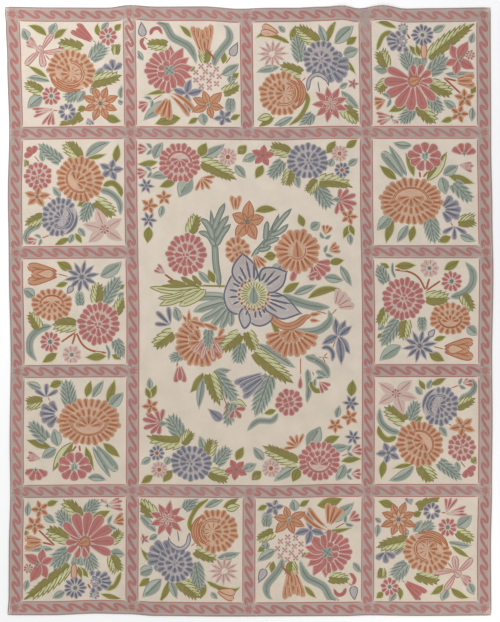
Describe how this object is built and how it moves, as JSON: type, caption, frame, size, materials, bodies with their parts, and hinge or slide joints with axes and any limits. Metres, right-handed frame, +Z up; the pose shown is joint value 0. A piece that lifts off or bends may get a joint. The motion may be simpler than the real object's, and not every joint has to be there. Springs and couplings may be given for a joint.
{
  "type": "chain stitch rug",
  "caption": "Large flat rectangular floor rug in wool chain stitch, with flower panels in a scrolled lattice around a central field with a round bouquet.",
  "frame": {"origin": "centre of the underside, on the floor", "axes": "+X across the rug, +Y along its length to the far edge, +Z up out of the stitched face"},
  "size_m": [2.4508, 3.0638, 0.0149],
  "materials": {
    "ground_wool": "matt cream wool chain stitch",
    "band_wool": "matt mauve and rose wool chain stitch",
    "flower_wool": "matt wool chain stitch in rust, rose, blue, olive and teal shades"
  },
  "bodies": {
    "root": {"rug": "ground_wool"}
  },
  "joints": []
}
